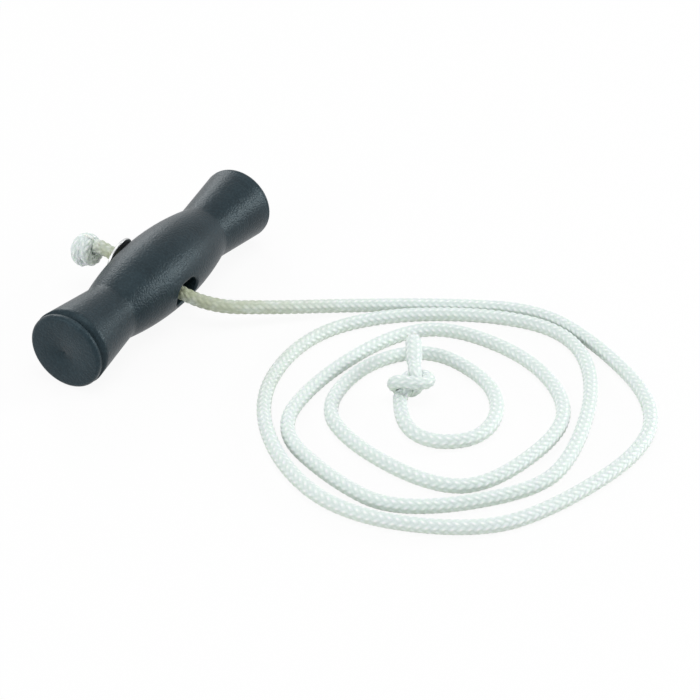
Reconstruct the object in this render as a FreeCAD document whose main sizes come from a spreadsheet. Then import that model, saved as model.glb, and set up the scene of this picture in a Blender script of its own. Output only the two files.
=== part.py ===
import FreeCAD, Part
import math
import os
import Sketcher

# Pull-start grip with its rope: row frame in mm.
# +X runs along the grip, +Y the way the rope leaves, +Z up; the floor is z = 0.

V = FreeCAD.Vector
doc = FreeCAD.newDocument("pull_grip")

# ---------------------------------------------------------------- sizes
SIZES = [
    ("grip_length", 112.0), ("end_dia", 27.2), ("waist_dia", 20.9), ("bulge_dia", 28.0),
    ("waist_at", 29.4), ("waist_round", 5.0), ("core_dia", 15.0), ("core_from", 13.0),
    ("cap_thick", 2.0), ("cap_round", 1.4), ("cap_rebate", 0.25), ("spigot_long", 9.0),
    ("spigot_clear", 0.05), ("spigot_bore", 10.0), ("gate_dia", 1.4), ("gate_deep", 0.5),
    ("groove_wide", 1.4), ("groove_deep", 0.9),
    ("slot_long", 12.6), ("slot_tall", 9.0), ("slot_off", 1.5), ("mouth_round", 0.8),
    ("seat_deep", 0.4), ("seat_margin", 0.5),
    ("washer_dia", 14.4), ("washer_hole", 6.0), ("washer_thick", 1.0), ("washer_gap", 0.3),
    ("washer_edge", 0.2),
    ("rope_dia", 4.8), ("knot_side", 1.8),
    ("hole_tilt", 14.0), ("axis_y", 1.1),
    ("stop_wide", 12.0), ("stop_round", 12.0), ("knot_gap", 6.5), ("stop_low", 3.9),
    ("stub_long", 8.5), ("end_wide", 15.0), ("end_round", 10.0),
    ("tail_long", 16.0), ("tail_tip_dia", 3.0), ("tail_taper", 5.0),
]
sheet = doc.addObject("Spreadsheet::Sheet", "sizes")
for row, (word, value) in enumerate(SIZES, start=1):
    sheet.set("A%d" % row, word)
    sheet.set("B%d" % row, repr(value))
    sheet.setAlias("B%d" % row, word)
doc.recompute()
S = dict(SIZES)
SEAT = S["bulge_dia"] / 2 - S["seat_deep"]

TILT = math.radians(S["hole_tilt"])
AXIS_Z = S["bulge_dia"] / 2
HOLE_DIR = V(0, math.cos(TILT), -math.sin(TILT))
HOLE_UP = V(0, math.sin(TILT), math.cos(TILT))
CENTRE = V(0, S["axis_y"], AXIS_Z)

# Rope route: corners of straight runs, rounded by tangent arcs below.
ROUTE = [
    (1.8, -21.2, 19.6), (2.1, -0.4, 14.4), (3.6, 22.6, 8.6), (-10.0, 41.1, 6.0),
    (-28.5, 63.3, 2.4), (-45.0, 92.8, 2.4), (-59.0, 121.8, 2.4), (-47.0, 147.8, 2.4),
    (-24.0, 174.8, 2.4), (3.0, 182.3, 2.4), (42.5, 169.3, 2.4), (64.0, 153.3, 2.4),
    (77.0, 114.3, 2.4), (63.0, 83.3, 2.4), (34.0, 59.8, 2.4), (-2.0, 57.3, 2.4),
    (-27.0, 73.3, 2.4), (-46.0, 108.3, 2.4), (-47.5, 136.3, 2.4), (-24.5, 154.8, 2.4),
    (15.5, 163.8, 2.4), (38.5, 160.3, 2.4), (67.0, 127.3, 2.4), (61.5, 102.3, 2.4),
    (47.5, 74.3, 2.4), (19.0, 73.3, 2.4), (-15.5, 81.8, 2.4), (-32.0, 96.8, 2.4),
    (-28.0, 128.8, 2.4), (-11.0, 151.3, 2.4), (10.0, 155.8, 2.4), (43.5, 146.8, 2.4),
    (51.0, 129.3, 2.4), (43.0, 99.3, 2.4), (29.0, 81.3, 2.4), (-0.5, 82.8, 2.4),
    (-17.0, 99.3, 2.4), (-9.5, 123.8, 2.4), (5.0, 136.8, 2.4), (23.0, 137.3, 2.4),
    (33.0, 122.3, 2.4), (28.5, 106.8, 2.4), (14.0, 100.8, 3.0),
]


# ---------------------------------------------------------------- helpers
def origin_item(body, role):
    return [o for o in body.Origin.OriginFeatures if o.Role == role][0]


def new_body(label, along_x="0"):
    """A body whose X is the grip's length and whose Y is the hole's direction."""
    body = doc.addObject("PartDesign::Body", label)
    body.Label = label
    body.Placement = FreeCAD.Placement(CENTRE, FreeCAD.Rotation(V(1, 0, 0), -S["hole_tilt"]))
    body.setExpression("Placement.Base.x", along_x)
    body.setExpression("Placement.Base.y", "sizes.axis_y")
    body.setExpression("Placement.Base.z", "sizes.bulge_dia / 2")
    body.setExpression("Placement.Rotation.Angle", "-sizes.hole_tilt * 1deg")
    return body


def new_sketch(body, name, plane):
    sketch = body.newObject("Sketcher::SketchObject", name)
    sketch.AttachmentSupport = [(origin_item(body, plane), "")]
    sketch.MapMode = "FlatFace"
    return sketch


def outline(sketch, points):
    """Closed, joined run of lines and arcs; a point is (x, y) or, ending an arc, (x, y, radius).

    A positive radius turns left from start to end and a negative one turns right.
    """
    ends = []
    for a, b in zip(points, points[1:] + points[:1]):
        start, end = V(a[0], a[1], 0), V(b[0], b[1], 0)
        if len(b) == 2:
            sketch.addGeometry(Part.LineSegment(start, end), False)
            ends.append((1, 2))
            continue
        chord = end - start
        radius = abs(b[2])
        lift = math.sqrt(radius ** 2 - (chord.Length / 2) ** 2)
        middle = (start + end) / 2 + V(-chord.y, chord.x, 0).normalize() * math.copysign(lift, b[2])
        if b[2] < 0:
            start, end = end, start
        angles = [math.atan2(p.y - middle.y, p.x - middle.x) for p in (start, end)]
        if angles[1] < angles[0]:
            angles[1] += 2 * math.pi
        circle = Part.Circle(middle, V(0, 0, 1), radius)
        sketch.addGeometry(Part.ArcOfCircle(circle, *angles), False)
        ends.append((1, 2) if b[2] > 0 else (2, 1))
    count = len(points)
    for n in range(count):
        after = (n + 1) % count
        sketch.addConstraint(Sketcher.Constraint("Coincident", n, ends[n][1], after, ends[after][0]))
    return ends


def dim(sketch, name, kind, args, expression):
    """One named, sheet-driven measurement."""
    number = sketch.addConstraint(Sketcher.Constraint(kind, *args))
    sketch.renameConstraint(number, name)
    sketch.setExpression("Constraints." + name, expression)


def revolve(body, sketch, name, axis="H_Axis"):
    turned = body.newObject("PartDesign::Revolution", name)
    turned.Profile = sketch
    turned.ReferenceAxis = (sketch, [axis])
    turned.Angle = 360
    doc.recompute()
    return turned


def stadium(sketch, centre_x, half_run, radius):
    """Two half rounds joined by straight sides, its length along the sketch's X."""
    a, b = centre_x - half_run, centre_x + half_run
    left = sketch.addGeometry(Part.ArcOfCircle(Part.Circle(V(a, 0, 0), V(0, 0, 1), radius),
                                               math.pi / 2, 3 * math.pi / 2), False)
    right = sketch.addGeometry(Part.ArcOfCircle(Part.Circle(V(b, 0, 0), V(0, 0, 1), radius),
                                                -math.pi / 2, math.pi / 2), False)
    low = sketch.addGeometry(Part.LineSegment(V(a, -radius, 0), V(b, -radius, 0)), False)
    top = sketch.addGeometry(Part.LineSegment(V(b, radius, 0), V(a, radius, 0)), False)
    for one, one_end, two, two_end in ((left, 2, low, 1), (low, 2, right, 1),
                                       (right, 2, top, 1), (top, 2, left, 1)):
        sketch.addConstraint(Sketcher.Constraint("Tangent", one, one_end, two, two_end))
    sketch.addConstraint(Sketcher.Constraint("PointOnObject", left, 3, -1))
    sketch.addConstraint(Sketcher.Constraint("PointOnObject", right, 3, -1))
    return left, right


def edges_where(shape, test):
    return ["Edge%d" % (n + 1) for n, e in enumerate(shape.Edges) if test(e)]


def fillet(body, base, names, name, radius):
    rounded = body.newObject("PartDesign::Fillet", name)
    rounded.Base = (base, names)
    rounded.setExpression("Radius", "sizes." + radius)
    doc.recompute()
    return rounded


# ---------------------------------------------------------------- grip body
half = S["grip_length"] / 2 - S["cap_thick"]
waist_r, bulge_r, end_r = S["waist_dia"] / 2, S["bulge_dia"] / 2, S["end_dia"] / 2
core_r = S["core_dia"] / 2
neck_r = end_r - S["groove_deep"]
neck_x = half - S["groove_wide"]

grip = new_body("grip_body")
profile = new_sketch(grip, "grip_profile", "XZ_Plane")
rise = bulge_r - waist_r
bulge_arc = (S["waist_at"] ** 2 + rise ** 2) / (2 * rise)
outline(profile, [
    (S["core_from"], 0), (S["core_from"], core_r), (half, core_r), (half, neck_r),
    (neck_x, neck_r), (neck_x, end_r), (S["waist_at"], waist_r),
    (-S["waist_at"], waist_r, bulge_arc), (-half, end_r), (-half, core_r),
    (-S["core_from"], core_r), (-S["core_from"], 0)])
for n, way in ((0, "Vertical"), (1, "Horizontal"), (2, "Vertical"), (3, "Horizontal"),
               (4, "Vertical"), (8, "Vertical")):
    profile.addConstraint(Sketcher.Constraint(way, n))
profile.addConstraint(Sketcher.Constraint("PointOnObject", 0, 1, -1))
for n in range(3):
    profile.addConstraint(Sketcher.Constraint("Symmetric", n, 1, 11 - n, 1, -2))
profile.addConstraint(Sketcher.Constraint("Symmetric", 6, 1, 6, 2, -2))
doc.recompute()
dim(profile, "core_end", "DistanceX", (-1, 1, 0, 1, S["core_from"]), "sizes.core_from")
dim(profile, "core_radius", "DistanceY", (-1, 1, 0, 2, core_r), "sizes.core_dia / 2")
dim(profile, "half_length", "DistanceX", (-1, 1, 1, 2, half), "sizes.grip_length / 2 - sizes.cap_thick")
dim(profile, "neck_radius", "DistanceY", (-1, 1, 2, 2, neck_r), "sizes.end_dia / 2 - sizes.groove_deep")
dim(profile, "neck_start", "DistanceX", (-1, 1, 3, 2, neck_x),
    "sizes.grip_length / 2 - sizes.cap_thick - sizes.groove_wide")
dim(profile, "end_radius", "DistanceY", (-1, 1, 4, 2, end_r), "sizes.end_dia / 2")
dim(profile, "waist_place", "DistanceX", (-1, 1, 5, 2, S["waist_at"]), "sizes.waist_at")
dim(profile, "waist_radius", "DistanceY", (-1, 1, 5, 2, waist_r), "sizes.waist_dia / 2")
dim(profile, "bulge_arc", "Radius", (6, bulge_arc),
    "(sizes.waist_at ^ 2 + ((sizes.bulge_dia - sizes.waist_dia) / 2) ^ 2)"
    " / (sizes.bulge_dia - sizes.waist_dia)")
dim(profile, "far_radius", "DistanceY", (-1, 1, 8, 1, end_r), "sizes.end_dia / 2")
doc.recompute()
barrel = revolve(grip, profile, "barrel")

# A shallow flat behind the slot, where the washer bears.
seat_sketch = new_sketch(grip, "seat_outline", "XZ_Plane")
seat_sketch.setExpression("AttachmentOffset.Base.z", "sizes.bulge_dia / 2 - sizes.seat_deep")
seat_r = S["washer_dia"] / 2 + S["seat_margin"]
round_seat = seat_sketch.addGeometry(
    Part.Circle(V(S["knot_side"], 0, 0), V(0, 0, 1), seat_r), False)
seat_sketch.addConstraint(Sketcher.Constraint("PointOnObject", round_seat, 3, -1))
doc.recompute()
dim(seat_sketch, "seat_side", "DistanceX", (-1, 1, round_seat, 3, S["knot_side"]), "sizes.knot_side")
dim(seat_sketch, "seat_radius", "Radius", (round_seat, seat_r),
    "sizes.washer_dia / 2 + sizes.seat_margin")
doc.recompute()
before = grip.Shape.Volume
seat = grip.newObject("PartDesign::Pocket", "washer_seat")
seat.Profile = seat_sketch
seat.setExpression("Length", "sizes.seat_deep + sizes.washer_thick")
seat.Reversed = True
doc.recompute()
print("seat takes", round(before - seat.Shape.Volume, 1), "mm3")

slot_r = S["slot_tall"] / 2
slot_run = (S["slot_long"] - S["slot_tall"]) / 2
slot_sketch = new_sketch(grip, "slot_outline", "XZ_Plane")
left, right = stadium(slot_sketch, S["slot_off"], slot_run, slot_r)
dim(slot_sketch, "slot_left", "DistanceX", (left, 3, -1, 1, slot_run - S["slot_off"]),
    "(sizes.slot_long - sizes.slot_tall) / 2 - sizes.slot_off")
dim(slot_sketch, "slot_right", "DistanceX", (-1, 1, right, 3, slot_run + S["slot_off"]),
    "(sizes.slot_long - sizes.slot_tall) / 2 + sizes.slot_off")
dim(slot_sketch, "slot_radius", "Radius", (left, slot_r), "sizes.slot_tall / 2")
doc.recompute()
before = grip.Shape.Volume
slot = grip.newObject("PartDesign::Pocket", "rope_slot")
slot.Profile = slot_sketch
slot.Type = "ThroughAll"
slot.Midplane = True
doc.recompute()
print("slot takes", round(before - slot.Shape.Volume, 1), "mm3")

waist_edges = edges_where(slot.Shape, lambda e: isinstance(e.Curve, Part.Circle)
                          and abs(abs(e.CenterOfMass.x) - S["waist_at"]) < 0.01)
waists = fillet(grip, slot, waist_edges, "waist_rounds", "waist_round")
mouth = edges_where(waists.Shape, lambda e: e.CenterOfMass.y > 8
                    and abs(e.CenterOfMass.x) < S["slot_long"] and e.BoundBox.ZMax < 5
                    and e.BoundBox.ZMin > -5 and e.BoundBox.YMax - e.BoundBox.YMin < 2.5)
fillet(grip, waists, mouth, "mouth_rounds", "mouth_round")


# ---------------------------------------------------------------- end caps
def make_cap(label, side):
    cap = new_body(label)
    shape = new_sketch(cap, label + "_profile", "XZ_Plane")
    face = S["grip_length"] / 2
    rebate = "sizes.cap_rebate" if side > 0 else "sizes.spigot_clear"
    rim_r = end_r - S[rebate.split(".")[1]]
    turn = S["cap_round"]
    spig_r, bore_r = core_r - S["spigot_clear"], S["spigot_bore"] / 2
    gate_r = S["gate_dia"] / 2
    points = [
        (half, spig_r), (half, rim_r), (face - turn, rim_r),
        (face, rim_r - turn, -side * turn), (face, gate_r),
        (face - S["gate_deep"], 0), (half, 0), (half, bore_r), (half - S["spigot_long"], bore_r),
        (half - S["spigot_long"], spig_r)]
    outline(shape, [(p[0] * side,) + p[1:] for p in points])
    for n in (0, 3, 6, 8):
        shape.addConstraint(Sketcher.Constraint("Vertical", n))
    for n in (1, 5, 7, 9):
        shape.addConstraint(Sketcher.Constraint("Horizontal", n))
    shape.addConstraint(Sketcher.Constraint("PointOnObject", 5, 1, -1))
    doc.recompute()

    def along(name, geo, end, value, text):
        args = (-1, 1, geo, end, value) if side > 0 else (geo, end, -1, 1, value)
        dim(shape, name, "DistanceX", args, text)

    along("seat", 0, 1, half, "sizes.grip_length / 2 - sizes.cap_thick")
    along("face", 3, 1, face, "sizes.grip_length / 2")
    along("rim_end", 1, 2, face - turn, "sizes.grip_length / 2 - sizes.cap_round")
    along("gate_floor", 5, 1, face - S["gate_deep"], "sizes.grip_length / 2 - sizes.gate_deep")
    along("spigot_end", 8, 1, half - S["spigot_long"],
          "sizes.grip_length / 2 - sizes.cap_thick - sizes.spigot_long")
    dim(shape, "rim_radius", "DistanceY", (-1, 1, 0, 2, rim_r), "sizes.end_dia / 2 - " + rebate)
    dim(shape, "edge_round", "Radius", (2, turn), "sizes.cap_round")
    dim(shape, "flat_radius", "DistanceY", (-1, 1, 3, 1, rim_r - turn),
        "sizes.end_dia / 2 - sizes.cap_round - " + rebate)
    dim(shape, "gate_radius", "DistanceY", (-1, 1, 3, 2, gate_r), "sizes.gate_dia / 2")
    dim(shape, "bore_radius", "DistanceY", (-1, 1, 7, 1, bore_r), "sizes.spigot_bore / 2")
    dim(shape, "spigot_radius", "DistanceY", (-1, 1, 0, 1, spig_r),
        "sizes.core_dia / 2 - sizes.spigot_clear")
    doc.recompute()
    revolve(cap, shape, label + "_turned")
    return cap


right_cap = make_cap("right_end_cap", 1)
left_cap = make_cap("left_end_cap", -1)

# ---------------------------------------------------------------- washer
washer = new_body("stop_washer", "sizes.knot_side")
ring = new_sketch(washer, "washer_section", "XY_Plane")
near_y = -(SEAT + S["washer_gap"])
far_y = near_y - S["washer_thick"]
in_r, out_r = S["washer_hole"] / 2, S["washer_dia"] / 2
outline(ring, [(in_r, near_y), (out_r, near_y), (out_r, far_y), (in_r, far_y)])
for n in range(4):
    ring.addConstraint(Sketcher.Constraint("Vertical" if n % 2 else "Horizontal", n))
doc.recompute()
dim(ring, "hole_radius", "DistanceX", (-1, 1, 0, 1, in_r), "sizes.washer_hole / 2")
dim(ring, "outer_radius", "DistanceX", (-1, 1, 0, 2, out_r), "sizes.washer_dia / 2")
dim(ring, "front_face", "DistanceY", (0, 1, -1, 1, -near_y),
    "sizes.bulge_dia / 2 - sizes.seat_deep + sizes.washer_gap")
dim(ring, "rear_face", "DistanceY", (3, 1, -1, 1, -far_y),
    "sizes.bulge_dia / 2 - sizes.seat_deep + sizes.washer_gap + sizes.washer_thick")
doc.recompute()
disc = revolve(washer, ring, "washer_disc", "V_Axis")
outer_edges = edges_where(disc.Shape, lambda e: isinstance(e.Curve, Part.Circle))
chamfer = washer.newObject("PartDesign::Chamfer", "washer_edges")
chamfer.Base = (disc, outer_edges)
chamfer.setExpression("Size", "sizes.washer_edge")
doc.recompute()


# ---------------------------------------------------------------- rope
def route_wire(points):
    """Straight runs joined by tangent arcs, each as wide as the shorter run beside it allows."""
    pts = [V(*p) for p in points]
    edges, at, radii = [], pts[0], []
    for before_pt, corner, after_pt in zip(pts, pts[1:], pts[2:]):
        u = (before_pt - corner).normalize()
        w = (after_pt - corner).normalize()
        half_turn = (math.pi - u.getAngle(w)) / 2
        reach = 0.45 * min((before_pt - corner).Length, (after_pt - corner).Length)
        radius = reach / math.tan(half_turn)
        radii.append(radius)
        start, end = corner + u * reach, corner + w * reach
        middle = corner + (u + w).normalize() * (radius / math.cos(half_turn) - radius)
        edges.append(Part.LineSegment(at, start).toShape())
        edges.append(Part.Arc(start, middle, end).toShape())
        at = end
    edges.append(Part.LineSegment(at, pts[-1]).toShape())
    print("arc radii mm", [round(r, 1) for r in radii])
    return Part.Wire(edges)


def placed(origin, z_dir, x_hint=None):
    """Placement with local Z along z_dir and local X as near x_hint as it can be."""
    z = V(z_dir).normalize()
    hint = V(x_hint) if x_hint else (V(0, 0, 1) if abs(z.z) < 0.9 else V(1, 0, 0))
    y = z.cross(hint).normalize()
    return FreeCAD.Placement(V(origin), FreeCAD.Rotation(y.cross(z), y, z, "ZXY"))


spine = doc.addObject("Part::Feature", "rope_route")
spine.Shape = route_wire(ROUTE)
start_dir = V(*ROUTE[1]) - V(*ROUTE[0])
section = doc.addObject("Part::Circle", "rope_section")
section.setExpression("Radius", "sizes.rope_dia / 2")
section.Placement = placed(V(*ROUTE[0]), start_dir)
rope = doc.addObject("Part::Sweep", "rope")
rope.Sections = [section]
rope.Spine = (spine, [])
rope.Solid = True
rope.Frenet = False
doc.recompute()
length = spine.Shape.Length
print("rope length mm", round(length, 1), "volume ratio",
      round(rope.Shape.Volume / (math.pi * (S["rope_dia"] / 2) ** 2 * length), 4))


# ---------------------------------------------------------------- knots
def solid(kind, name, place, **sizes):
    item = doc.addObject(kind, name)
    item.Placement = place
    for key, text in sizes.items():
        item.setExpression(key, text)
    return item


def tied_knot(label, centre, across, size, extra=()):
    """Three wraps side by side on a core, their common axis along across."""
    wide, round_ = "sizes.%s_wide" % size, "sizes.%s_round" % size
    step = (S[size + "_wide"] - S["rope_dia"]) / 2
    pieces = [solid("Part::Cylinder", label + "_core", placed(centre - across * step, across),
                    Radius="(%s - sizes.rope_dia) / 2" % round_, Height="%s - sizes.rope_dia" % wide)]
    for n in (-1, 0, 1):
        pieces.append(solid("Part::Torus", "%s_wrap_%d" % (label, n + 2),
                            placed(centre + across * step * n, across),
                            Radius1="(%s - sizes.rope_dia) / 2" % round_,
                            Radius2="sizes.rope_dia / 2"))
    fused = doc.addObject("Part::MultiFuse", label)
    fused.Shapes = pieces + list(extra)
    return fused


stop_back = -far_y + S["knot_gap"] + S["stop_round"] / 2
stop_centre = (CENTRE - HOLE_DIR * stop_back - HOLE_UP * S["stop_low"]
               + V(S["knot_side"], 0, 0))
stub_dir = (V(-0.8, 0, 0) + HOLE_UP * 0.45 - HOLE_DIR * 0.2).normalize()
stop_stub = solid("Part::Cylinder", "stop_knot_stub", placed(stop_centre, stub_dir),
                  Radius="sizes.rope_dia / 2", Height="sizes.stub_long")
stop_knot = tied_knot("stop_knot", stop_centre, HOLE_UP, "stop", [stop_stub])

end_across = V(-0.467, 0.884, 0.0).normalize()
end_centre = V(9.2, 104.2, S["end_round"] / 2 + 0.05)
end_knot = tied_knot("end_knot", end_centre, end_across, "end")
tail_face = V(4.0, 102.7, 6.6)
tail_dir = V(-13.8, -7.2, 1.5).normalize()

tail = doc.addObject("PartDesign::Body", "sealed_tail")
tail.Label = "sealed_tail"
tail.Placement = placed(tail_face, tail_dir)
side = new_sketch(tail, "tail_profile", "XZ_Plane")
rope_r, tip_r = S["rope_dia"] / 2, S["tail_tip_dia"] / 2
outline(side, [(0, 0), (rope_r, 0), (rope_r, S["tail_long"] - S["tail_taper"]),
               (tip_r, S["tail_long"]), (0, S["tail_long"])])
for n, way in ((0, "Horizontal"), (1, "Vertical"), (3, "Horizontal"), (4, "Vertical")):
    side.addConstraint(Sketcher.Constraint(way, n))
side.addConstraint(Sketcher.Constraint("Coincident", 0, 1, -1, 1))
doc.recompute()
dim(side, "base_radius", "DistanceX", (-1, 1, 0, 2, rope_r), "sizes.rope_dia / 2")
dim(side, "taper_start", "DistanceY", (-1, 1, 1, 2, S["tail_long"] - S["tail_taper"]),
    "sizes.tail_long - sizes.tail_taper")
dim(side, "tip_radius", "DistanceX", (-1, 1, 2, 2, tip_r), "sizes.tail_tip_dia / 2")
dim(side, "tail_length", "DistanceY", (-1, 1, 2, 2, S["tail_long"]), "sizes.tail_long")
doc.recompute()
revolve(tail, side, "tail_turned", "V_Axis")
doc.recompute()

# ---------------------------------------------------------------- write
NODES = [grip, left_cap, right_cap, washer, rope, stop_knot, end_knot, tail]
for item in doc.Objects:
    if "Invalid" in item.State or "Error" in item.State:
        raise RuntimeError("%s is %s" % (item.Name, item.State))
os.makedirs("parts", exist_ok=True)
for node in NODES:
    shape = node.Shape
    if shape.isNull() or not shape.isValid() or len(shape.Solids) != 1:
        raise RuntimeError("%s is not one sound solid" % node.Name)
    box = shape.BoundBox
    print("%-14s vol %9.1f  x %.2f..%.2f  y %.2f..%.2f  z %.2f..%.2f" % (
        node.Name, shape.Volume, box.XMin, box.XMax, box.YMin, box.YMax, box.ZMin, box.ZMax))
    shape.exportStep("parts/%s.step" % node.Name)
print("wrote", len(NODES), "parts")
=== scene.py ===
"""Pull grip on a braided cord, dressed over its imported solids.

model.glb gives every solid in metres. The rope and both of its knots are braided tubes that Geometry
Nodes sweep along NURBS splines. The grip, its caps and the washer keep the solids' own shapes.
"""

import math

import bmesh
import bpy
from bpy.props import FloatProperty, FloatVectorProperty, IntProperty, PointerProperty
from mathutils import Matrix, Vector


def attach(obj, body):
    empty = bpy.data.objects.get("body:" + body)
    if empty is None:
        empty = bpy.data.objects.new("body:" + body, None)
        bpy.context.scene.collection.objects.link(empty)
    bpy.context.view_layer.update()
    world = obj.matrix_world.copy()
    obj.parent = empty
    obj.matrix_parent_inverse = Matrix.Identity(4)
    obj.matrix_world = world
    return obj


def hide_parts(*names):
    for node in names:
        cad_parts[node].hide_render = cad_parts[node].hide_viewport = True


bl_info = {
    "name": "Braided Cord Pull Grip",
    "version": (1, 0, 0),
    "blender": (4, 5, 0),
    "location": "View3D > Sidebar > Pull Grip",
    "description": "Builds a moulded pull grip with its washer and its knotted, braided cord",
    "category": "Add Mesh",
}

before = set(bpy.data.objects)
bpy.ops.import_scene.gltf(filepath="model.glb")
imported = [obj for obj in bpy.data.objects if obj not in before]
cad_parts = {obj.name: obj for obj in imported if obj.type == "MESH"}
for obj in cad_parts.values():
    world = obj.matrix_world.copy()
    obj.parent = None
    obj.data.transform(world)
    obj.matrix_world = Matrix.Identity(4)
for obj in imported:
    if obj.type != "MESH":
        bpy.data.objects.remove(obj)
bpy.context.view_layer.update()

MM = 0.001

# The grip's axis runs along X through this point. The cord hole leans down towards the front.
CENTRE = Vector((0.0, 1.1, 14.0)) * MM
HOLE_TILT = math.radians(14)
HOLE_FRONT = Vector((0, math.cos(HOLE_TILT), -math.sin(HOLE_TILT)))
HOLE_UP = Vector((0, math.sin(HOLE_TILT), math.cos(HOLE_TILT)))

# The cord's route in millimetres, from the stopper knot to the tail knot.
ROUTE = (
    (1.8, -21.2, 19.6), (2.1, -0.4, 14.4), (3.6, 22.6, 8.6), (-10, 41.1, 6), (-29.5, 62.8, 2.4),
    (-45.5, 92.3, 2.4), (-57, 121.3, 2.4), (-46, 147.8, 2.4), (-24, 175.8, 2.4), (2.5, 182.8, 2.4),
    (42, 169.3, 2.4), (63.5, 153.3, 2.4), (75.5, 114.3, 2.4), (62, 83.8, 2.4), (33.5, 60.3, 2.4),
    (-2.5, 56.8, 2.4), (-28, 72.8, 2.4), (-47, 107.8, 2.4), (-48.5, 136.3, 2.4), (-25, 155.3, 2.4),
    (15.5, 164.3, 2.4), (38.5, 160.3, 2.4), (66.5, 127.8, 2.4), (61.5, 102.8, 2.4), (47, 75.3, 2.4),
    (18.5, 72.8, 2.4), (-16, 81.3, 2.4), (-33, 96.3, 2.4), (-29, 128.8, 2.4), (-11, 150.8, 2.4),
    (9.5, 155.8, 2.4), (43, 146.3, 2.4), (50, 129.3, 2.4), (42.5, 99.3, 2.4), (28.5, 81.8, 2.4),
    (-1, 82.8, 2.4), (-18, 98.8, 2.4), (-10, 123.3, 2.4), (5, 134.3, 2.4), (21.5, 134.3, 2.4),
    (30.5, 121.3, 2.4), (25.5, 108.3, 2.4), (13.5, 102.3, 3.0),
)

# One tight overhand turn, with the knot's size as its unit: across, outward and along the pull.
OVERHAND = (
    (-0.24, 0.24, -0.62), (-0.71, -0.39, 0.34), (0.30, -1.14, 0.71), (1.42, -0.70, 0.57),
    (1.56, 0.52, 0.13), (0.54, 1.02, -0.02), (-0.54, 1.02, 0.16), (-1.56, 0.52, 0.16),
    (-1.46, -0.55, -0.24), (-0.36, -1.0, -0.71), (0.66, -0.2, -0.5),
)

# The stopper knot in millimetres, two turns round its own core: along the grip, backward and up.
STOPPER = (
    (0.0, -3.2, 0.2), (0.2, 1.6, 0.4), (-1.0, 3.8, 1.0), (-3.2, 3.5, -0.6), (-3.0, 2.5, -3.4),
    (1.2, 1.8, -4.2), (4.2, 1.5, -1.8), (4.2, 1.2, 2.2), (0.6, 0.7, 4.1), (-3.4, -0.2, 3.0),
    (-4.2, -1.1, -1.0), (-1.8, -1.7, -4.0), (2.6, -1.8, -3.5), (4.2, -1.8, 0.2), (2.6, -2.3, 3.0),
    (0.6, -3.2, 4.9),
)
# Its centre lies this far behind the cord's first point and below it, in millimetres.
STOPPER_BACK = 4.4
STOPPER_BELOW = 4.0
# What counts as backward in it, in shares of HOLE_FRONT and HOLE_UP: it sags below the hole's line.
STOPPER_LEAN = (-0.87, -0.5)

# The tail knot's centre and the ends of the tail that leaves it, in millimetres.
TAIL_KNOT_CENTRE = (9.2, 104.2, 6.6)
TAIL_FROM = (4.0, 102.7, 6.9)
TAIL_TO = (-10.4, 95.2, 10.0)
TAIL_ACROSS = Vector((-0.467, 0.884, 0))
TAIL_ALONG = Vector((-0.494, -0.261, 0.829))
# Where the tail leaves the knot, across it and along it, with the knot's size as the unit.
TAIL_EXIT = (0.34, 0.85)
# Two places along the tail, and how far the second one is arched up, in millimetres.
TAIL_PLACES = (3.0, 9.0)
TAIL_ARCH = 0.4

# A knot's strand starts this far inside the cord's end and is led out this far, in millimetres.
STRAND_LAP = 1.5
STRAND_LEAD = 1.0
# Each knot squeezes its strand from the first place on, over the second length, in millimetres.
SQUEEZE_START = 1.0
SQUEEZE_REACH = 3
# The tail's last millimetres are free of the knot, and swollen by this share.
FREE_TAIL = 10
TAIL_SWELL = 0.15
# Radius of each melted tip, against the cord's diameter and the knot's size.
STOPPER_TIP = 0.38
TAIL_TIP = 0.52
# Height of a melted tip against its radius, and the length in metres that melting narrows.
TIP_HEIGHT = 0.42
SEALED_LENGTH = 0.0022

# The height in the braid, from 0 to 1, that lies on the tube's own surface.
BRAID_LEVEL = 0.80

# Ranges in metres over which a finish fades: height where the cord lies, distance ahead of the grip and
# behind it where the cord is soiled, and distance from the middle at the barrel's rubbed lips.
LYING = (0.010, 0.006)
SOIL_AHEAD = (0.078, 0.010)
SOIL_BEHIND = (-0.026, -0.017)
LIP = (0.050, 0.0535)

# Tints: the cord's duller stretches against its colour, melted cord, and plating that is worn through.
DULL = (0.90, 0.93, 0.86)
SCORCHED = (0.70, 0.70, 0.58)
WORN_PLATE = (0.50, 0.50, 0.49)

# The camera and the lamps, in metres and watts. A lamp is its name, place, size and power.
CAMERA_PLACE = (0.48413, 0.33249, 0.37413)
CAMERA_TARGET = (-0.00735, 0.07293, 0.0)
LAMP_TARGET = (0.0, 0.08, 0.0)
LAMPS = (
    ("soft_key", (-0.98, 1.22, 0.44), 0.6, 11.0),
    ("soft_top", (0.10, 0.25, 1.35), 0.9, 6.0),
    ("soft_rim", (-0.85, -0.95, 0.60), 0.6, 4.0),
    ("soft_fill", (1.15, -0.45, 0.50), 0.8, 4.0),
)
FLOOR_HALF = 3.0


# ---------------------------------------------------------------- settings


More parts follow.
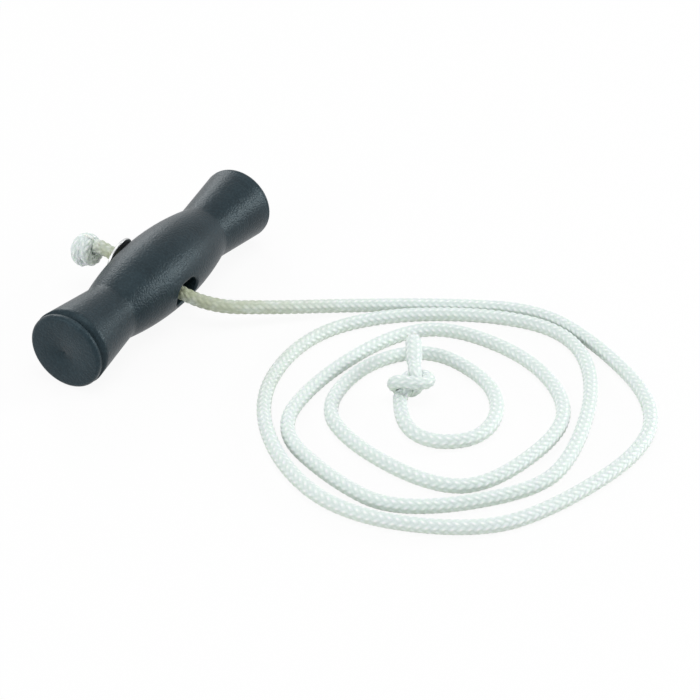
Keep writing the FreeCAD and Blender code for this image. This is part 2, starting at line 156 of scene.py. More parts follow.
class PullGripRopeSettings(bpy.types.PropertyGroup):
    diameter: FloatProperty(
        name="Diameter", description="Thickness of the braided cord", default=4.8 * MM,
        min=1 * MM, max=20 * MM, subtype="DISTANCE", unit="LENGTH")
    cell: FloatProperty(
        name="Stitch Length", description="Length of one braid stitch along the cord",
        default=2.5 * MM, min=0.5 * MM, max=20 * MM, subtype="DISTANCE", unit="LENGTH")
    relief: FloatProperty(
        name="Relief", description="How far the yarns stand above the grooves between them",
        default=0.34 * MM, min=0, max=2 * MM, subtype="DISTANCE", unit="LENGTH")
    ring: FloatProperty(
        name="Ring Spacing", description="Distance between the rings of the swept tube",
        default=0.4 * MM, min=0.1 * MM, max=5 * MM, subtype="DISTANCE", unit="LENGTH")
    sides: IntProperty(
        name="Sides", description="Points round the swept tube", default=32, min=8, max=96)
    yarns: IntProperty(
        name="Yarns Each Way", description="Yarns that wind one way round the cord",
        default=8, min=4, max=24)
    squeeze: FloatProperty(
        name="Knot Squeeze", description="Thickness of the cord where a knot pulls it tight",
        default=0.92, min=0.5, max=1.0, subtype="FACTOR")
    tightness: FloatProperty(
        name="Knot Tightness", description="Size of a knot against one that is only just closed",
        default=0.82, min=0.5, max=1.2, subtype="FACTOR")
    colour: FloatVectorProperty(
        name="Yarn", description="Colour of the yarns", subtype="COLOR",
        default=(0.80, 0.87, 0.88), min=0, max=1)
    # Painted highlight: a near-white colour for the middle of each stitch.
    crown_highlight: FloatVectorProperty(
        name="Crown", description="Colour of the glossy middle of each stitch", subtype="COLOR",
        default=(0.95, 0.975, 0.97), min=0, max=1)
    # Painted shade: a darker colour for the grooves between the yarns.
    shade: FloatVectorProperty(
        name="Groove", description="Colour between the yarns", subtype="COLOR",
        default=(0.70, 0.79, 0.76), min=0, max=1)
    # Painted shade for the cord's downward-facing underside near the floor.
    underside_shade: FloatVectorProperty(
        name="Underside Shade", description="Colour of the grime on the cord's underside", subtype="COLOR",
        default=(0.60, 0.69, 0.55), min=0, max=1)
    soil: FloatVectorProperty(
        name="Soil", description="Colour of the cord where it rubs through the grip",
        subtype="COLOR", default=(0.42, 0.46, 0.31), min=0, max=1)


class PullGripGripSettings(bpy.types.PropertyGroup):
    colour: FloatVectorProperty(
        name="Plastic", description="Colour of the moulded plastic", subtype="COLOR",
        default=(0.003, 0.008, 0.012), min=0, max=1)
    scuff: FloatVectorProperty(
        name="Scuff", description="Colour of the rubbed plastic", subtype="COLOR",
        default=(0.020, 0.036, 0.046), min=0, max=1)
    grain: FloatProperty(
        name="Grain Size", description="Size of the moulded grain", default=0.7 * MM,
        min=0.05 * MM, max=5 * MM, subtype="DISTANCE", unit="LENGTH")
    grain_depth: FloatProperty(
        name="Grain Depth", description="Depth of the moulded grain", default=0.15 * MM,
        min=0, max=1 * MM, subtype="DISTANCE", unit="LENGTH")


class PullGripWasherSettings(bpy.types.PropertyGroup):
    colour: FloatVectorProperty(
        name="Plating", description="Colour of the zinc plating", subtype="COLOR",
        default=(0.72, 0.73, 0.74), min=0, max=1)


class PullGripStageSettings(bpy.types.PropertyGroup):
    floor: FloatVectorProperty(
        name="Floor", description="Colour of the floor", subtype="COLOR",
        default=(0.90, 0.90, 0.90), min=0, max=1)
    paleness: FloatProperty(
        name="Paleness", description="How much of the floor's shading is whitened for the eye",
        default=0.92, min=0, max=1, subtype="FACTOR")
    lens: FloatProperty(
        name="Lens", description="Focal length of the camera", default=101.65, min=10, max=400)


# ---------------------------------------------------------------- node helpers


class Graph:
    """Adds nodes to a tree and links them, with one short call for each."""

    def __init__(self, tree):
        self.tree = tree

    def feed(self, socket, value):
        if isinstance(value, bpy.types.NodeSocket):
            self.tree.links.new(value, socket)
        elif value is not None:
            socket.default_value = value

    def add(self, kind, inputs=(), **settings):
        node = self.tree.nodes.new(kind)
        for name, value in settings.items():
            setattr(node, name, value)
        pairs = inputs.items() if isinstance(inputs, dict) else enumerate(inputs)
        for key, value in pairs:
            self.feed(node.inputs[key], value)
        return node

    def math(self, operation, *values, clamp=False):
        return self.add("ShaderNodeMath", values, operation=operation, use_clamp=clamp).outputs[0]

    def smooth(self, value, low, high):
        node = self.add("ShaderNodeMapRange", interpolation_type="SMOOTHSTEP")
        for key, number in (("Value", value), ("From Min", low), ("From Max", high)):
            self.feed(node.inputs[key], number)
        return node.outputs["Result"]

    def mix(self, factor, a, b):
        node = self.add("ShaderNodeMix", data_type="RGBA")
        for socket, value in zip((node.inputs[0], node.inputs[6], node.inputs[7]), (factor, a, b)):
            self.feed(socket, (*value, 1) if isinstance(value, (tuple, list)) else value)
        return node.outputs[2]

    def noise(self, vector, scale, detail=2.0, rough=0.5):
        return self.add("ShaderNodeTexNoise", {
            "Vector": vector, "Scale": scale, "Detail": detail, "Roughness": rough}).outputs["Fac"]


def new_group(kind, name, sockets):
    """A node group with named sockets. Each one is (in or out, type, name, default)."""
    tree = bpy.data.node_groups.new(name, kind)
    for side, sort, title, default in sockets:
        socket = tree.interface.new_socket(
            name=title, in_out="INPUT" if side == "in" else "OUTPUT", socket_type="NodeSocket" + sort)
        if default is not None:
            socket.default_value = default
    graph = Graph(tree)
    return graph, graph.add("NodeGroupInput").outputs, graph.add("NodeGroupOutput").inputs


def braid(graph, around, along):
    """Sixteen-yarn braid, each yarn over two and under two, for a shader or a geometry tree.

    around and along count stitches. Returns the height of the upper yarn, from 0 to 1, the place
    across it and the place along its stitch, from -1 to 1.
    """
    m = graph.math
    right, left = m("ADD", around, along), m("SUBTRACT", around, along)
    heights, across, lengths = [], [], []
    for own, other, shift in ((right, left, 0.5), (left, right, 2.5)):
        yarn = m("ROUND", own)
        side = m("MULTIPLY", m("SUBTRACT", own, yarn), 2.0)
        run = m("WRAP", m("SUBTRACT", m("ADD", other, yarn), shift), 2.0, -2.0)
        crown = m("SUBTRACT", 1.0, m("POWER", m("ABSOLUTE", side), 2.2))
        inside = m("MINIMUM", m("ABSOLUTE", run), 1.0)
        dive = m("SUBTRACT", 1.0, m("POWER", inside, 2.6))
        heights.append(m("MULTIPLY", m("MAXIMUM", crown, 0.0), dive))
        across.append(side)
        lengths.append(run)
    upper = m("GREATER_THAN", heights[0], heights[1])
    pick = [m("MULTIPLY_ADD", upper, m("SUBTRACT", a, b), b) for a, b in (across, lengths)]
    return m("MAXIMUM", *heights), pick[0], pick[1]


# ---------------------------------------------------------------- shader groups


def yarn_group():
    """Braid relief, fine filaments, and masks for painted shade in the grooves and painted highlights on the
    crowns, from the braid UV map.
    """
    graph, given, made = new_group("ShaderNodeTree", "Braided Yarn", (
        ("in", "Vector", "UV", None), ("in", "Float", "Filaments", 5.0),
        ("out", "Float", "Height", None), ("out", "Float", "Groove", None),
        ("out", "Float", "Crown", None), ("out", "Float", "Tint", None)))
    split = graph.add("ShaderNodeSeparateXYZ", (given["UV"],)).outputs
    height, side, run = braid(graph, split[0], split[1])
    m = graph.math
    wobble = graph.noise(given["UV"], 3.0)
    lines = m("SINE", m("MULTIPLY", m("MULTIPLY_ADD", wobble, 0.35, side),
                        m("MULTIPLY", given["Filaments"], math.pi)))
    graph.feed(made["Height"], m("MULTIPLY_ADD", lines, 0.10, height))
    # Groove marks where the cord's material paints shade between the yarns.
    graph.feed(made["Groove"], m("SUBTRACT", 1.0, graph.smooth(height, 0.02, 0.55)))
    # The crown is the middle of each stitch, where the cord's material paints a highlight and lowers the
    # roughness.
    lengthwise = m("MULTIPLY", m("POWER", m("ABSOLUTE", run), 2.0), 1.5)
    reach = m("SQRT", m("MULTIPLY_ADD", side, side, lengthwise))
    graph.feed(made["Crown"], m("SUBTRACT", 1.0, graph.smooth(reach, 0.12, 0.66)))
    graph.feed(made["Tint"], graph.noise(given["UV"], 0.35, 3.0))
    return graph.tree


def grain_group():
    """Fine leathery grain of a moulded surface, on coordinates in metres."""
    graph, given, made = new_group("ShaderNodeTree", "Moulded Grain", (
        ("in", "Vector", "Vector", None), ("in", "Float", "Size", 0.0005),
        ("out", "Float", "Height", None), ("out", "Float", "Speckle", None)))
    m = graph.math
    scale = m("DIVIDE", 1.0, given["Size"])
    cells = graph.add("ShaderNodeTexVoronoi", {"Vector": given["Vector"], "Scale": scale},
                      feature="SMOOTH_F1").outputs["Distance"]
    fine = graph.noise(given["Vector"], m("MULTIPLY", scale, 1.7), 3.0)
    height = m("MULTIPLY_ADD", fine, 0.6, m("MULTIPLY", cells, 0.7))
    graph.feed(made["Height"], height)
    graph.feed(made["Speckle"], graph.smooth(height, 0.45, 0.85))
    return graph.tree


def wear_group():
    """Patchy rubbing, made of a broad cloud broken up by short scratches."""
    graph, given, made = new_group("ShaderNodeTree", "Rubbed Wear", (
        ("in", "Vector", "Vector", None), ("in", "Float", "Amount", 0.5),
        ("out", "Float", "Wear", None)))
    m = graph.math
    cloud = graph.noise(given["Vector"], 90.0, 4.0, 0.6)
    stretched = graph.add("ShaderNodeMapping", {
        "Vector": given["Vector"], "Scale": (500.0, 2600.0, 2600.0)}).outputs[0]
    scratch = graph.smooth(graph.noise(stretched, 1.0, 2.0), 0.60, 0.74)
    patch = graph.smooth(m("MULTIPLY_ADD", given["Amount"], 0.5, m("SUBTRACT", cloud, 0.25)), 0.25, 0.75)
    graph.feed(made["Wear"], m("MULTIPLY", patch, m("MULTIPLY_ADD", scratch, 0.4, 0.6), clamp=True))
    return graph.tree


def new_material(name):
    """An empty node material. Returns it, its graph and its Principled shader."""
    material = bpy.data.materials.new(name)
    material.use_nodes = True
    material.node_tree.nodes.clear()
    graph = Graph(material.node_tree)
    shader = graph.add("ShaderNodeBsdfPrincipled")
    graph.add("ShaderNodeOutputMaterial", (shader.outputs[0],))
    return material, graph, shader


def place_group(graph, tree, **inputs):
    node = graph.add("ShaderNodeGroup", node_tree=tree)
    for name, value in inputs.items():
        graph.feed(node.inputs[name], value)
    return node.outputs


def bump(graph, shader, height, distance, strength=1.0):
    node = graph.add("ShaderNodeBump", {"Strength": strength, "Distance": distance, "Height": height})
    graph.feed(shader.inputs["Normal"], node.outputs[0])


def constants(shader, **values):
    for name, value in values.items():
        shader.inputs[name.replace("_", " ")].default_value = value


def braided_material(settings):
    material, graph, shader = new_material("Braided Polyester")
    uv = graph.add("ShaderNodeUVMap", uv_map="braid").outputs[0]
    yarn = place_group(graph, bpy.data.node_groups["Braided Yarn"], UV=uv)
    dull = tuple(part * share for part, share in zip(settings.colour, DULL))
    body = graph.mix(yarn["Tint"], tuple(settings.colour), dull)
    # Painted shade: the grooves between the yarns are mixed towards a darker colour.
    colour = graph.mix(yarn["Groove"], body, tuple(settings.shade))
    # Painted highlight: each stitch's crown is mixed towards a near-white colour.
    colour = graph.mix(yarn["Crown"], colour, tuple(settings.crown_highlight))
    # Painted shade darkens its underside where it lies near the floor, and it is soiled where it rubs
    # through the grip.
    facing = graph.add("ShaderNodeSeparateXYZ", (graph.add("ShaderNodeNewGeometry").outputs["Normal"],))
    place = graph.add("ShaderNodeSeparateXYZ", (graph.add("ShaderNodeTexCoord").outputs["Object"],))
    lying = graph.math("MULTIPLY", graph.smooth(place.outputs[2], *LYING), 0.45)
    under = graph.math("MULTIPLY", graph.smooth(facing.outputs[2], 0.45, -0.45), lying)
    colour = graph.mix(under, colour, tuple(settings.underside_shade))
    ahead = graph.smooth(place.outputs[1], *SOIL_AHEAD)
    behind = graph.smooth(place.outputs[1], *SOIL_BEHIND)
    patchy = graph.smooth(yarn["Tint"], 0.15, 0.60)
    soil = graph.math("MULTIPLY", graph.math("MULTIPLY", ahead, behind), patchy)
    graph.feed(shader.inputs["Base Color"], graph.mix(soil, colour, tuple(settings.soil)))
    graph.feed(shader.inputs["Roughness"], graph.math("MULTIPLY_ADD", yarn["Crown"], -0.12, 0.46))
    constants(shader, Sheen_Weight=0.15, Sheen_Roughness=0.4, Specular_IOR_Level=0.6,
              Subsurface_Weight=0.4, Subsurface_Radius=(1.0, 1.15, 0.9), Subsurface_Scale=0.9 * MM)
    bump(graph, shader, yarn["Height"], 0.25 * MM, 0.5)
    return material


def sealed_material(settings):
    material, graph, shader = new_material("Melted Polyester")
    place = graph.add("ShaderNodeTexCoord").outputs["Object"]
    cloud = graph.noise(place, 700.0, 3.0)
    graph.feed(shader.inputs["Base Color"], graph.mix(
        graph.smooth(cloud, 0.3, 0.7), tuple(settings.colour), SCORCHED))
    graph.feed(shader.inputs["Roughness"], graph.math("MULTIPLY_ADD", cloud, 0.3, 0.12))
    constants(shader, Coat_Weight=0.3, Coat_Roughness=0.1)
    bump(graph, shader, cloud, 0.3 * MM, 0.6)
    return material


def plastic_material(settings, name, faced):
    """Grained plastic. faced is 1 for the caps, whose flat faces show faint flow lines."""
    material, graph, shader = new_material(name)
    m = graph.math
    place = graph.add("ShaderNodeTexCoord").outputs["Object"]
    centred = graph.add("ShaderNodeMapping", {
        "Vector": place, "Location": tuple(-c for c in CENTRE)}).outputs[0]
    split = graph.add("ShaderNodeSeparateXYZ", (centred,)).outputs
    grain = place_group(graph, bpy.data.node_groups["Moulded Grain"], Vector=place, Size=settings.grain)
    wear = place_group(graph, bpy.data.node_groups["Rubbed Wear"], Vector=place, Amount=0.55)["Wear"]
    angle = m("ARCTAN2", split[1], split[2])
    radius = m("SQRT", m("ADD", m("POWER", split[1], 2.0), m("POWER", split[2], 2.0)))
    if faced:
        rays = graph.add("ShaderNodeCombineXYZ", (m("MULTIPLY", angle, 5.0), 0.0, 0.0)).outputs[0]
        flow = m("MULTIPLY", graph.noise(rays, 2.2, 3.0), graph.smooth(radius, 0.001, 0.006))
        mark = m("MULTIPLY", flow, 0.55)
    else:
        lip = graph.smooth(m("ABSOLUTE", split[0]), *LIP)
        mark = m("MULTIPLY", lip, 0.25)
    speckle = m("MULTIPLY", grain["Speckle"], 0.35)
    rubbed = m("ADD", m("MULTIPLY", wear, 0.55), m("ADD", mark, speckle), clamp=True)
    graph.feed(shader.inputs["Base Color"], graph.mix(rubbed, tuple(settings.colour), tuple(settings.scuff)))
    graph.feed(shader.inputs["Roughness"], m("MULTIPLY_ADD", grain["Height"], 0.16, 0.27))
    constants(shader, Specular_IOR_Level=0.28, Specular_Tint=(0.72, 0.93, 1.0, 1.0))
    bump(graph, shader, grain["Height"], settings.grain_depth, 1.0)
    return material


def plated_material(settings):
    material, graph, shader = new_material("Zinc Plating")
    place = graph.add("ShaderNodeTexCoord").outputs["Object"]
    cloud = graph.noise(place, 400.0, 4.0)
    wear = place_group(graph, bpy.data.node_groups["Rubbed Wear"], Vector=place, Amount=0.6)["Wear"]
    tone = graph.mix(cloud, tuple(settings.colour), tuple(c * 0.82 for c in settings.colour))
    graph.feed(shader.inputs["Base Color"], graph.mix(wear, tone, WORN_PLATE))
    graph.feed(shader.inputs["Roughness"], graph.math("MULTIPLY_ADD", wear, 0.3, 0.30))
    constants(shader, Metallic=1.0)
    bump(graph, shader, cloud, 0.05 * MM, 0.5)
    return material


# ---------------------------------------------------------------- braided tubes


def braid_tree():
    """Sweeps a round braid of the given size along a curve, with its UV map in stitches."""
    graph, given, made = new_group("GeometryNodeTree", "Braided Tube", (
        ("in", "Geometry", "Curve", None), ("in", "Float", "Diameter", 0.0048),
        ("in", "Float", "Stitch Length", 0.0025), ("in", "Float", "Relief", 0.0003),
        ("in", "Float", "Ring Spacing", 0.0004), ("in", "Int", "Sides", 32),
        ("in", "Int", "Yarns", 8), ("in", "Float", "Squeeze", 1.0),
        ("in", "Float", "Squeeze Start", 0.0), ("in", "Float", "Squeeze Reach", 0.003),
        ("in", "Float", "Free End", -0.01), ("in", "Float", "Swell", 0.0),
        ("in", "Float", "Tip", 0.0), ("in", "Material", "Material", None),
        ("out", "Geometry", "Tube", None)))
    m = graph.math
    even = graph.add("GeometryNodeResampleCurve", {"Curve": given["Curve"],
                                                   "Length": given["Ring Spacing"]}, mode="LENGTH")
    # Length along the cord, kept on the points before the sweep.
    kept = graph.add("GeometryNodeCaptureAttribute", domain="POINT")
    spline = graph.add("GeometryNodeSplineParameter").outputs
    for title, source in (("Along", spline["Length"]), ("Share", spline["Factor"])):
        kept.capture_items.new("FLOAT", title)
        graph.feed(kept.inputs[title], source)
    graph.feed(kept.inputs["Geometry"], even.outputs[0])
    ring = graph.add("GeometryNodeCurvePrimitiveCircle", {
        "Resolution": given["Sides"], "Radius": m("MULTIPLY", given["Diameter"], 0.5)})
    kept_ring = graph.add("GeometryNodeCaptureAttribute", domain="POINT")
    kept_ring.capture_items.new("FLOAT", "Turn")
    turn = m("DIVIDE", graph.add("GeometryNodeInputIndex").outputs[0], given["Sides"])
    graph.feed(kept_ring.inputs["Turn"], turn)
    graph.feed(kept_ring.inputs["Geometry"], ring.outputs[0])
    # A knot squeezes its cord, which swells back to full thickness outside it.
    total = m("DIVIDE", kept.outputs["Along"], m("MAXIMUM", kept.outputs["Share"], 0.0001))
    left = m("SUBTRACT", total, kept.outputs["Along"])
    tight = m("SUBTRACT", 1.0, given["Squeeze"])
    entered = graph.smooth(kept.outputs["Along"], given["Squeeze Start"],
                           m("ADD", given["Squeeze Start"], given["Squeeze Reach"]))
    pulled = graph.smooth(left, given["Free End"], m("ADD", given["Free End"], given["Squeeze Reach"]))
    slack = m("MULTIPLY", m("SUBTRACT", 1.0, pulled), given["Swell"])
    squeezed = m("MULTIPLY", tight, m("MULTIPLY", entered, pulled))
    thick = m("SUBTRACT", m("ADD", 1.0, slack), squeezed)
    sealed = m("MULTIPLY_ADD", m("SUBTRACT", graph.smooth(left, 0.0, SEALED_LENGTH), 1.0), given["Tip"], 1.0)
    scale = m("MULTIPLY", thick, sealed)
    swept = graph.add("GeometryNodeCurveToMesh", {
        "Curve": kept.outputs["Geometry"], "Profile Curve": kept_ring.outputs["Geometry"],
        "Scale": scale, "Fill Caps": True})
    around = m("MULTIPLY", kept_ring.outputs["Turn"], given["Yarns"])
    along = m("DIVIDE", kept.outputs["Along"], given["Stitch Length"])
    height, _, _ = braid(graph, around, along)
    lift = m("MULTIPLY", m("MULTIPLY", m("SUBTRACT", height, BRAID_LEVEL), given["Relief"]), sealed)
    normal = graph.add("GeometryNodeInputNormal").outputs[0]
    offset = graph.add("ShaderNodeVectorMath", {0: normal}, operation="SCALE")
    graph.feed(offset.inputs["Scale"], lift)
    raised = graph.add("GeometryNodeSetPosition", {
        "Geometry": swept.outputs[0], "Offset": offset.outputs[0]})
    # The last strip of faces joins turn 1 to turn 0, so its far corners count as turn 1.
    face_turn = graph.add("GeometryNodeFieldOnDomain", (kept_ring.outputs["Turn"],), domain="FACE")
    over = m("GREATER_THAN", m("SUBTRACT", face_turn.outputs[0], kept_ring.outputs["Turn"]), 0.25)
    wide = m("MULTIPLY", m("ADD", kept_ring.outputs["Turn"], over), given["Yarns"])
    uv = graph.add("ShaderNodeCombineXYZ", (wide, along, 0.0))
    mapped = graph.add("GeometryNodeStoreNamedAttribute", {
        "Geometry": raised.outputs[0], "Name": "braid", "Value": uv.outputs[0]},
        data_type="FLOAT2", domain="CORNER")
    soft = graph.add("GeometryNodeSetShadeSmooth", {"Geometry": mapped.outputs[0]})
    real = graph.add("GeometryNodeRealizeInstances", {"Geometry": soft.outputs[0]})
    finished = graph.add("GeometryNodeSetMaterial", {
        "Geometry": real.outputs[0], "Material": given["Material"]})
    graph.feed(made["Tube"], finished.outputs[0])
    return graph.tree


def nurbs_line(name, points, order):
    """An open NURBS spline through its first and last control points, in metres."""
    curve = bpy.data.curves.new(name, "CURVE")
    curve.dimensions = "3D"
    curve.resolution_u = 24
    spline = curve.splines.new("NURBS")
    spline.points.add(len(points) - 1)
    for target, point in zip(spline.points, points):
        target.co = (*point, 1.0)
    spline.order_u = order
    spline.use_endpoint_u = True
    line = bpy.data.objects.new(name, curve)
    bpy.context.scene.collection.objects.link(line)
    bpy.context.view_layer.update()
    return line


def line_points(line):
    """The points of the smooth line itself, read from the curve while it has no bevel."""
    graph = bpy.context.evaluated_depsgraph_get()
    mesh = bpy.data.meshes.new_from_object(line.evaluated_get(graph))
    points = [tuple(v.co) for v in mesh.vertices]
    bpy.data.meshes.remove(mesh)
    return points


def sweep_braid(line, name, settings, material, **extra):
    """Turns a line into a braided mesh by the Geometry Nodes tree, and removes the line."""
    values = {
        "Diameter": settings.diameter, "Stitch Length": settings.cell, "Relief": settings.relief,
        "Ring Spacing": settings.ring, "Sides": settings.sides, "Yarns": settings.yarns,
        "Material": material, **extra}
    tree = bpy.data.node_groups["Braided Tube"]
    modifier = line.modifiers.new("Braid", "NODES")
    modifier.node_group = tree
    for item in tree.interface.items_tree:
        if item.in_out == "INPUT" and item.name in values:
            modifier[item.identifier] = values[item.name]
    line.update_tag()
    bpy.context.view_layer.update()
    graph = bpy.context.evaluated_depsgraph_get()
    mesh = bpy.data.meshes.new_from_object(line.evaluated_get(graph))
    curve = line.data
    bpy.data.objects.remove(line)
    bpy.data.curves.remove(curve)
    return new_piece(name, mesh)


def new_piece(name, mesh):
    mesh.name = name
    piece = bpy.data.objects.new(name, mesh)
    bpy.context.scene.collection.objects.link(piece)
    return piece


def melted_tip(name, place, direction, radius, material):
    """A small domed blob where the cord's end was melted shut."""
    work = bmesh.new()
    bmesh.ops.create_icosphere(work, subdivisions=4, radius=1.0)
    turn = direction.normalized().to_track_quat("Z", "Y").to_matrix()
    for vertex in work.verts:
        x, y, z = vertex.co
        swell = 1 + 0.05 * math.sin(3 * math.atan2(y, x) + 0.7) + 0.04 * math.sin(5 * math.atan2(y, x))
        vertex.co = place + turn @ Vector((x * radius * swell, y * radius * swell, z * radius * TIP_HEIGHT))
    mesh = bpy.data.meshes.new(name)
    work.to_mesh(mesh)
    work.free()
    mesh.polygons.foreach_set("use_smooth", [True] * len(mesh.polygons))
    mesh.materials.append(material)
    return new_piece(name, mesh)


def strand_start(place, inner):
    """The first two points of a knot's strand, which starts inside the cord's end at place."""
    heading = (place - inner).normalized()
    return [place - heading * STRAND_LAP * MM, place + heading * STRAND_LEAD * MM]


def knot_points(centre, axes, size, lead_in, lead_out):
    """Control points of a knotted strand: the way in, one overhand turn, and the way out."""
    across, outward, along = (axis.normalized() for axis in axes)
    turn = [centre + (across * x + outward * y + along * z) * size for x, y, z in OVERHAND]
    return [*lead_in, *turn, *lead_out]


def merged_copy(node, name, material, sharp=35.0):
    """A smooth-shaded copy of a solid's mesh, with its loose triangles joined."""
    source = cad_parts[node]
    work = bmesh.new()
    work.from_mesh(source.data)
    bmesh.ops.remove_doubles(work, verts=work.verts, dist=1e-6)
    mesh = bpy.data.meshes.new(name)
    work.to_mesh(mesh)
    work.free()
    mesh.polygons.foreach_set("use_smooth", [True] * len(mesh.polygons))
    mesh.set_sharp_from_angle(angle=math.radians(sharp))
    mesh.materials.append(material)
    return new_piece(name, mesh)


# ---------------------------------------------------------------- operators


class PullGripOperator:
    bl_options = {"REGISTER", "UNDO"}


class PULLGRIP_OT_finishes(PullGripOperator, bpy.types.Operator):
    """Make the shader groups and the materials of the cord, the grip and the washer"""

    bl_idname = "pullgrip.finishes"
    bl_label = "Make Finishes"

    def execute(self, context):
        scene = context.scene
        yarn_group()
        grain_group()
        wear_group()
        braid_tree()
        braided_material(scene.pullgrip_rope)
        sealed_material(scene.pullgrip_rope)
        plastic_material(scene.pullgrip_grip, "Grained Plastic", False)
        plastic_material(scene.pullgrip_grip, "Cap Plastic", True)
        plated_material(scene.pullgrip_washer)
        return {"FINISHED"}


class PULLGRIP_OT_rope(PullGripOperator, bpy.types.Operator):
    """Sweep the braided cord along its route, from the stopper knot to the tail knot"""

    bl_idname = "pullgrip.rope"
    bl_label = "Build Cord"

    def execute(self, context):
        settings = context.scene.pullgrip_rope
        line = nurbs_line("cord_line", [Vector(p) * MM for p in ROUTE], 3)
        path = line_points(line)
        rope = sweep_braid(line, "braided_cord", settings, bpy.data.materials["Braided Polyester"])
        rope["path"] = [c for p in path for c in p]
        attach(rope, "cord")
        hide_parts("rope")
        return {"FINISHED"}


class PULLGRIP_OT_stopper_knot(PullGripOperator, bpy.types.Operator):
    """Tie the stopper knot that holds the cord behind the washer"""

    bl_idname = "pullgrip.stopper_knot"
    bl_label = "Build Stopper Knot"

    def execute(self, context):
        settings = context.scene.pullgrip_rope
        start = Vector(ROUTE[0]) * MM
        centre = start + (HOLE_FRONT * -STOPPER_BACK + HOLE_UP * -STOPPER_BELOW) * MM
        back = (HOLE_FRONT * STOPPER_LEAN[0] + HOLE_UP * STOPPER_LEAN[1]).normalized()
        axes = (Vector((1, 0, 0)), back, Vector((1, 0, 0)).cross(-back))
        turns = [centre + sum((axis * c for axis, c in zip(axes, point)), Vector()) * MM
                 for point in STOPPER]
        points = [*strand_start(start, Vector(ROUTE[1]) * MM), *turns]
        rise = (turns[-1] - turns[-2]).normalized()
        line = nurbs_line("stopper_line", points, 4)
        knot = sweep_braid(
            line, "stopper_knot", settings, bpy.data.materials["Braided Polyester"],
            **{"Squeeze": settings.squeeze, "Squeeze Start": SQUEEZE_START * MM,
               "Squeeze Reach": SQUEEZE_REACH * MM, "Tip": 0.2})
        tip = melted_tip("stopper_end", turns[-1], rise, settings.diameter * STOPPER_TIP,
                         bpy.data.materials["Melted Polyester"])
        for piece in (knot, tip):
            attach(piece, "cord")
        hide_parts("stop_knot")
        return {"FINISHED"}


class PULLGRIP_OT_tail_knot(PullGripOperator, bpy.types.Operator):
    """Tie the knot at the cord's free end, with its tail and the melted tip"""

    bl_idname = "pullgrip.tail_knot"
    bl_label = "Build Tail Knot"

    def execute(self, context):
        settings = context.scene.pullgrip_rope
        size = settings.diameter * settings.tightness
        centre = Vector(TAIL_KNOT_CENTRE) * MM
        lead_in = strand_start(Vector(ROUTE[-1]) * MM, Vector(ROUTE[-2]) * MM)
        tail_from, tail_to = Vector(TAIL_FROM) * MM, Vector(TAIL_TO) * MM
        lean = (tail_to - tail_from).normalized()
        near, far = (tail_from + lean * place * MM for place in TAIL_PLACES)
        leave = centre + (TAIL_ACROSS * TAIL_EXIT[0] + TAIL_ALONG * TAIL_EXIT[1]) * size
        lead_out = [leave, near, far + Vector((0, 0, 1)) * TAIL_ARCH * MM, tail_to]
        axes = (TAIL_ACROSS, TAIL_ACROSS.cross(TAIL_ALONG), TAIL_ALONG)
        line = nurbs_line("tail_line", knot_points(centre, axes, size, lead_in, lead_out), 4)
        knot = sweep_braid(
            line, "tail_knot", settings, bpy.data.materials["Braided Polyester"],
            **{"Squeeze": settings.squeeze, "Squeeze Start": SQUEEZE_START * MM,
               "Squeeze Reach": SQUEEZE_REACH * MM, "Free End": FREE_TAIL * MM,
               "Swell": TAIL_SWELL, "Tip": 0.25})
        tip = melted_tip("tail_end", tail_to, lean, size * TAIL_TIP,
                         bpy.data.materials["Melted Polyester"])
        for piece in (knot, tip):
            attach(piece, "cord")
        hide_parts("end_knot", "sealed_tail")
        return {"FINISHED"}


class PULLGRIP_OT_declare_cord(PullGripOperator, bpy.types.Operator):
    """Remove the path that the cord's sweep stored on the cord"""

    bl_idname = "pullgrip.declare_cord"
    bl_label = "Declare Cord"

    def execute(self, context):
        rope = bpy.data.objects["braided_cord"]
        del rope["path"]
        return {"FINISHED"}


class PULLGRIP_OT_grip(PullGripOperator, bpy.types.Operator):
    """Dress the barrel and its two caps in grained plastic"""

    bl_idname = "pullgrip.grip"
    bl_label = "Build Grip"

    def execute(self, context):
        for node, name, finish in (("grip_body", "grip_barrel", "Grained Plastic"),
                                   ("left_end_cap", "left_cap", "Cap Plastic"),
                                   ("right_end_cap", "right_cap", "Cap Plastic")):
            piece = merged_copy(node, name, bpy.data.materials[finish])
            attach(piece, "grip")
            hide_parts(node)
        return {"FINISHED"}


class PULLGRIP_OT_washer(PullGripOperator, bpy.types.Operator):
    """Dress the plated washer between the knot and the grip"""

    bl_idname = "pullgrip.washer"
    bl_label = "Build Washer"

    def execute(self, context):
        piece = merged_copy("stop_washer", "plated_washer", bpy.data.materials["Zinc Plating"], 25.0)
        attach(piece, "washer")
        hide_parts("stop_washer")
        return {"FINISHED"}


def aimed(place, target):
    """The turn that makes a camera or a lamp at place look at target."""
    return (Vector(target) - Vector(place)).to_track_quat("-Z", "Y")


def area_light(name, place, size, watts):
    data = bpy.data.lights.new(name, "AREA")
    data.shape = "DISK"
    data.size, data.energy = size, watts
    lamp = bpy.data.objects.new(name, data)
    lamp.location = place
    lamp.visible_camera = False
    lamp.rotation_mode = "QUATERNION"
    lamp.rotation_quaternion = aimed(place, LAMP_TARGET)
    bpy.context.scene.collection.objects.link(lamp)


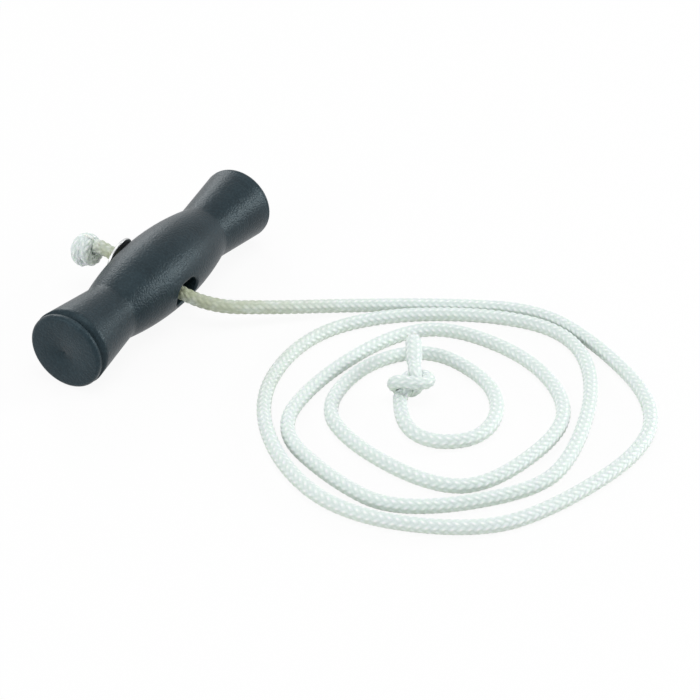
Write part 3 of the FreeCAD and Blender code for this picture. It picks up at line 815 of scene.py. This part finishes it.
class PULLGRIP_OT_stage(PullGripOperator, bpy.types.Operator):
    """Set up the pale floor, the soft lights and the camera"""

    bl_idname = "pullgrip.stage"
    bl_label = "Build Stage"

    def execute(self, context):
        settings = context.scene.pullgrip_stage
        for lamp in LAMPS:
            area_light(*lamp)
        world = bpy.data.worlds.new("Pale Room")
        context.scene.world = world
        world.use_nodes = True
        world.node_tree.nodes.clear()
        graph = Graph(world.node_tree)
        seen = self.seen(graph)
        strength = graph.math("MULTIPLY_ADD", seen, 0.5, 0.5)
        sky = graph.add("ShaderNodeBackground", {"Color": (1, 1, 1, 1), "Strength": strength})
        graph.add("ShaderNodeOutputWorld", (sky.outputs[0],))
        self.floor(settings)
        data = bpy.data.cameras.new("Camera")
        data.sensor_width, data.lens = 36.0, settings.lens
        data.clip_start, data.clip_end = 0.01, 20.0
        camera = bpy.data.objects.new("Camera", data)
        camera.location = CAMERA_PLACE
        camera.rotation_mode = "QUATERNION"
        camera.rotation_quaternion = aimed(CAMERA_PLACE, CAMERA_TARGET)
        context.scene.collection.objects.link(camera)
        context.scene.camera = camera
        context.scene.view_settings.view_transform = "Standard"
        return {"FINISHED"}

    @staticmethod
    def seen(graph):
        """1 for what the eye, a reflection or a clear view meets, and 0 for light on the object."""
        ray = graph.add("ShaderNodeLightPath").outputs
        first = graph.math("MAXIMUM", ray["Is Camera Ray"], ray["Is Glossy Ray"])
        return graph.math("MAXIMUM", first, ray["Is Transmission Ray"])

    def floor(self, settings):
        mesh = bpy.data.meshes.new("floor")
        corners = [(x * FLOOR_HALF, y * FLOOR_HALF, 0) for x, y in ((-1, -1), (1, -1), (1, 1), (-1, 1))]
        mesh.from_pydata(corners, [], [(0, 1, 2, 3)])
        floor = new_piece("floor", mesh)
        material = bpy.data.materials.new("Pale Floor")
        material.use_nodes = True
        material.node_tree.nodes.clear()
        graph = Graph(material.node_tree)
        matt = graph.add("ShaderNodeBsdfDiffuse", {"Color": (*settings.floor, 1)})
        glow = graph.add("ShaderNodeEmission", {"Color": (1, 1, 1, 1), "Strength": 1.0})
        whiten = graph.math("MULTIPLY", self.seen(graph), settings.paleness)
        both = graph.add("ShaderNodeMixShader", (whiten, matt.outputs[0], glow.outputs[0]))
        graph.add("ShaderNodeOutputMaterial", (both.outputs[0],))
        mesh.materials.append(material)


class PULLGRIP_PT_panel(bpy.types.Panel):
    """Lists the sizes and colours of the pull grip and the steps that build it"""

    bl_idname = "PULLGRIP_PT_panel"
    bl_label = "Pull Grip"
    bl_space_type = "VIEW_3D"
    bl_region_type = "UI"
    bl_category = "Pull Grip"

    def draw(self, context):
        for title, holder in (("Cord", "pullgrip_rope"), ("Grip", "pullgrip_grip"),
                              ("Washer", "pullgrip_washer"), ("Stage", "pullgrip_stage")):
            box = self.layout.box()
            box.label(text=title)
            settings = getattr(context.scene, holder)
            for name in settings.__annotations__:
                box.prop(settings, name)
        for step in STEPS:
            self.layout.operator(step.bl_idname)


SETTINGS = {
    "pullgrip_rope": PullGripRopeSettings, "pullgrip_grip": PullGripGripSettings,
    "pullgrip_washer": PullGripWasherSettings, "pullgrip_stage": PullGripStageSettings,
}
STEPS = (
    PULLGRIP_OT_finishes, PULLGRIP_OT_stage, PULLGRIP_OT_rope, PULLGRIP_OT_stopper_knot,
    PULLGRIP_OT_tail_knot, PULLGRIP_OT_declare_cord, PULLGRIP_OT_grip, PULLGRIP_OT_washer,
)
CLASSES = (*SETTINGS.values(), *STEPS, PULLGRIP_PT_panel)


def register():
    for cls in CLASSES:
        bpy.utils.register_class(cls)
    for name, cls in SETTINGS.items():
        setattr(bpy.types.Scene, name, PointerProperty(type=cls))


def unregister():
    for name in SETTINGS:
        delattr(bpy.types.Scene, name)
    for cls in reversed(CLASSES):
        bpy.utils.unregister_class(cls)


def main():
    register()
    for step in STEPS:
        group, name = step.bl_idname.split(".")
        getattr(getattr(bpy.ops, group), name)()


if __name__ == "__main__":
    main()
